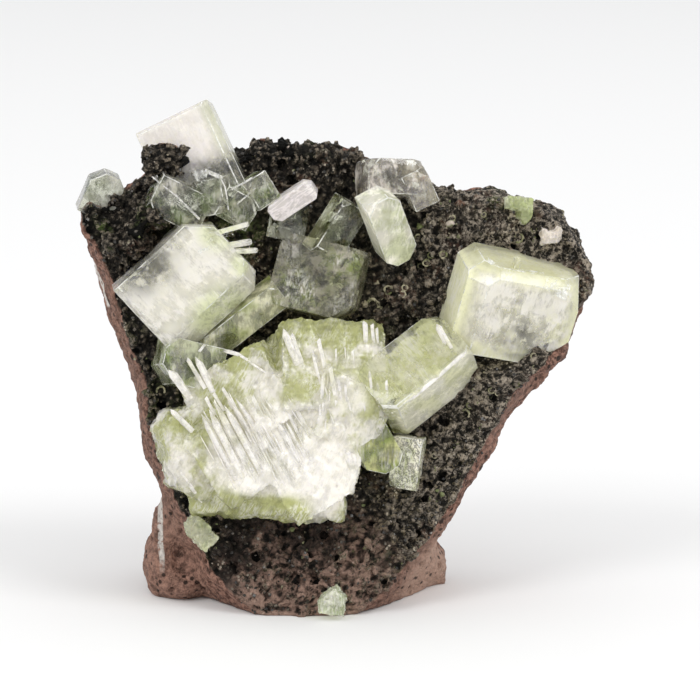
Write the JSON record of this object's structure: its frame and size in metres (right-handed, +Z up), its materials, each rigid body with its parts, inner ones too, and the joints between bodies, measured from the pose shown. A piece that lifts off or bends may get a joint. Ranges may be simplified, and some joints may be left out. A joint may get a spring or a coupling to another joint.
{
  "type": "apophyllite crystal cluster on basalt matrix",
  "caption": "Rough mineral specimen: pale green and milky apophyllite crystals grown on a dark basalt rock that stands on a flat base.",
  "frame": {"origin": "on the standing plane, under the middle of the whole specimen's box", "axes": "+Z up from the flat base, crystals face -Y, +X to the right as seen from the front"},
  "size_m": [0.1104, 0.0531, 0.1072],
  "materials": {
    "basalt": "rough broken basalt with a near-black vesicular cavity lining",
    "milky_crystal": "vitreous faces over milky white and pale green crystal",
    "clear_crystal": "clear grey-green crystal with vitreous faces"
  },
  "bodies": {
    "root": {"matrix": "basalt", "center_cluster": "milky_crystal", "right_block_crystal": "milky_crystal", "large_left_crystal": "milky_crystal", "top_white_crystal": "milky_crystal", "small_white_prism": "milky_crystal", "white_chip": "milky_crystal", "upper_left_crystals": "clear_crystal", "far_left_crystal": "clear_crystal", "middle_green_crystals": "clear_crystal", "upper_right_crystals": "clear_crystal", "lower_green_crystal": "clear_crystal", "small_lower_crystal": "clear_crystal", "top_right_chip": "clear_crystal", "lower_left_chip": "clear_crystal", "bottom_chip": "clear_crystal"}
  },
  "joints": []
}
